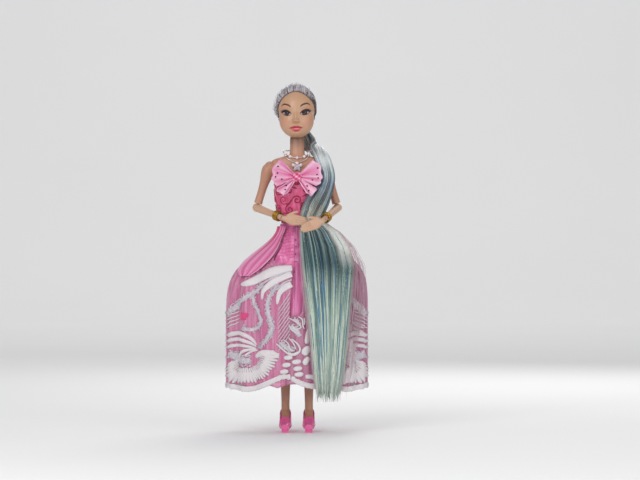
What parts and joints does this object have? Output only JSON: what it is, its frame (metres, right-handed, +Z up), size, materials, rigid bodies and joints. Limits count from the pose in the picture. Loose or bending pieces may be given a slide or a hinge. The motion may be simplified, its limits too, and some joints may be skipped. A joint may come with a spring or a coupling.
{
  "type": "fashion doll",
  "caption": "Jointed fashion doll in a full-length ball gown, with long rooted hair brought over one shoulder, bangles and necklaces.",
  "frame": {"origin": "on the floor, below the middle of the doll's box, between the shoes", "axes": "+Z up, the doll looks along -Y, its left hand is at +X"},
  "size_m": [0.117, 0.0791, 0.2847],
  "materials": {
    "skin": "satin",
    "hair": "glossy fibre",
    "brocade": "woven scrolls",
    "satin": "satin",
    "tulle": "sheer, embroidered",
    "organza": "sheer, glittered",
    "pearl": "pearly",
    "gold": "polished",
    "shoe": "gloss"
  },
  "bodies": {
    "torso": {"torso_front": "skin", "torso_back": "skin", "bodice": "brocade", "back_closure": "satin", "waistband": "satin", "bow_knot": "organza", "bow_loop_left": "organza", "bow_loop_right": "organza", "bow_tail_left": "organza", "bow_tail_right": "organza", "overskirt_front_left": "tulle", "overskirt_front_right": "tulle", "overskirt_back_left": "tulle", "overskirt_back_right": "tulle", "underskirt_front": "satin", "underskirt_back": "satin", "side_drape": "organza", "hair_fall": "hair", "hair_sweep": "hair", "pearl_strand": "pearl", "pendant_cord": "pearl", "pendant": "pearl"},
    "neck": {"neck_knob": "skin"},
    "head": {"head": "skin", "hair_cap": "hair"},
    "shoulder_right": {"shoulder_ball_right": "skin"},
    "upper_arm_right": {"upper_arm_right": "skin"},
    "elbow_right": {"elbow_link_right": "skin"},
    "forearm_right": {"forearm_right": "skin", "bracelet_right": "gold"},
    "hand_right": {"hand_right": "skin"},
    "hip_right": {"hip_ball_right": "skin"},
    "thigh_right": {"thigh_right": "skin"},
    "shin_right": {"shin_right": "skin", "shoe_right": "shoe"},
    "shoulder_left": {"shoulder_ball_left": "skin"},
    "upper_arm_left": {"upper_arm_left": "skin"},
    "elbow_left": {"elbow_link_left": "skin"},
    "forearm_left": {"forearm_left": "skin", "bracelet_left": "gold"},
    "hand_left": {"hand_left": "skin"},
    "hip_left": {"hip_ball_left": "skin"},
    "thigh_left": {"thigh_left": "skin"},
    "shin_left": {"shin_left": "skin", "shoe_left": "shoe"}
  },
  "joints": [
    {"name": "head_turn", "type": "hinge", "parent": "torso", "child": "neck", "pos_m": [0, 0.0022, 0.25], "axis": [0, 0, 1], "range_deg": [-60, 60], "deforming": ["hair_sweep"]},
    {"name": "head_nod", "type": "hinge", "parent": "neck", "child": "head", "pos_m": [0, 0.0022, 0.25], "axis": [-1, 0, 0], "range_deg": [-3, 12]},
    {"name": "arm_swing_right", "type": "hinge", "parent": "torso", "child": "shoulder_right", "pos_m": [-0.0236, 0, 0.2143], "axis": [-1, 0, 0], "range_deg": [0, 95], "deforming": ["bow_loop_left", "bow_loop_right", "bow_tail_left", "bow_tail_right"]},
    {"name": "arm_raise_right", "type": "hinge", "parent": "shoulder_right", "child": "upper_arm_right", "pos_m": [-0.0236, 0, 0.2143], "axis": [0, 1, 0], "range_deg": [0, 85]},
    {"name": "arm_twist_right", "type": "hinge", "parent": "upper_arm_right", "child": "elbow_right", "pos_m": [-0.0332, 0.003, 0.1832], "axis": [-0.2937, 0.0918, -0.9515], "range_deg": [0, 90]},
    {"name": "elbow_bend_right", "type": "hinge", "parent": "elbow_right", "child": "forearm_right", "pos_m": [-0.0332, 0.003, 0.1832], "axis": [0.7144, 0.6825, -0.1547], "range_deg": [0, 85]},
    {"name": "wrist_turn_right", "type": "hinge", "parent": "forearm_right", "child": "hand_right", "pos_m": [-0.0115, -0.02169, 0.1745], "axis": [0.6382, -0.7261, -0.2559], "range_deg": [-20, 60]},
    {"name": "leg_swing_right", "type": "hinge", "parent": "torso", "child": "hip_right", "pos_m": [-0.0096, 0, 0.153], "axis": [-1, 0, 0], "range_deg": [-15, 55], "deforming": ["overskirt_front_left", "overskirt_front_right", "overskirt_back_left", "overskirt_back_right", "underskirt_front", "underskirt_back", "side_drape", "hair_fall"]},
    {"name": "leg_spread_right", "type": "hinge", "parent": "hip_right", "child": "thigh_right", "pos_m": [-0.0096, 0, 0.153], "axis": [0, 1, 0], "range_deg": [0, 15]},
    {"name": "knee_bend_right", "type": "hinge", "parent": "thigh_right", "child": "shin_right", "pos_m": [-0.0096, 0, 0.082], "axis": [1, 0, 0], "range_deg": [0, 75]},
    {"name": "arm_swing_left", "type": "hinge", "parent": "torso", "child": "shoulder_left", "pos_m": [0.0236, 0, 0.2143], "axis": [-1, 0, 0], "range_deg": [0, 95], "deforming": ["bow_loop_left", "bow_loop_right", "bow_tail_left", "bow_tail_right"]},
    {"name": "arm_raise_left", "type": "hinge", "parent": "shoulder_left", "child": "upper_arm_left", "pos_m": [0.0236, 0, 0.2143], "axis": [0, -1, 0], "range_deg": [0, 85]},
    {"name": "arm_twist_left", "type": "hinge", "parent": "upper_arm_left", "child": "elbow_left", "pos_m": [0.0332, 0.003, 0.1832], "axis": [-0.2937, -0.0918, 0.9515], "range_deg": [0, 90]},
    {"name": "elbow_bend_left", "type": "hinge", "parent": "elbow_left", "child": "forearm_left", "pos_m": [0.0332, 0.003, 0.1832], "axis": [0.8779, -0.4197, 0.2305], "range_deg": [0, 85]},
    {"name": "wrist_turn_left", "type": "hinge", "parent": "forearm_left", "child": "hand_left", "pos_m": [0.0215, -0.02718, 0.1728], "axis": [0.3441, 0.8877, 0.3059], "range_deg": [-20, 45]},
    {"name": "leg_swing_left", "type": "hinge", "parent": "torso", "child": "hip_left", "pos_m": [0.0096, 0, 0.153], "axis": [-1, 0, 0], "range_deg": [-15, 55]},
    {"name": "leg_spread_left", "type": "hinge", "parent": "hip_left", "child": "thigh_left", "pos_m": [0.0096, 0, 0.153], "axis": [0, -1, 0], "range_deg": [0, 15]},
    {"name": "knee_bend_left", "type": "hinge", "parent": "thigh_left", "child": "shin_left", "pos_m": [0.0096, 0, 0.082], "axis": [1, 0, 0], "range_deg": [0, 75]}
  ]
}
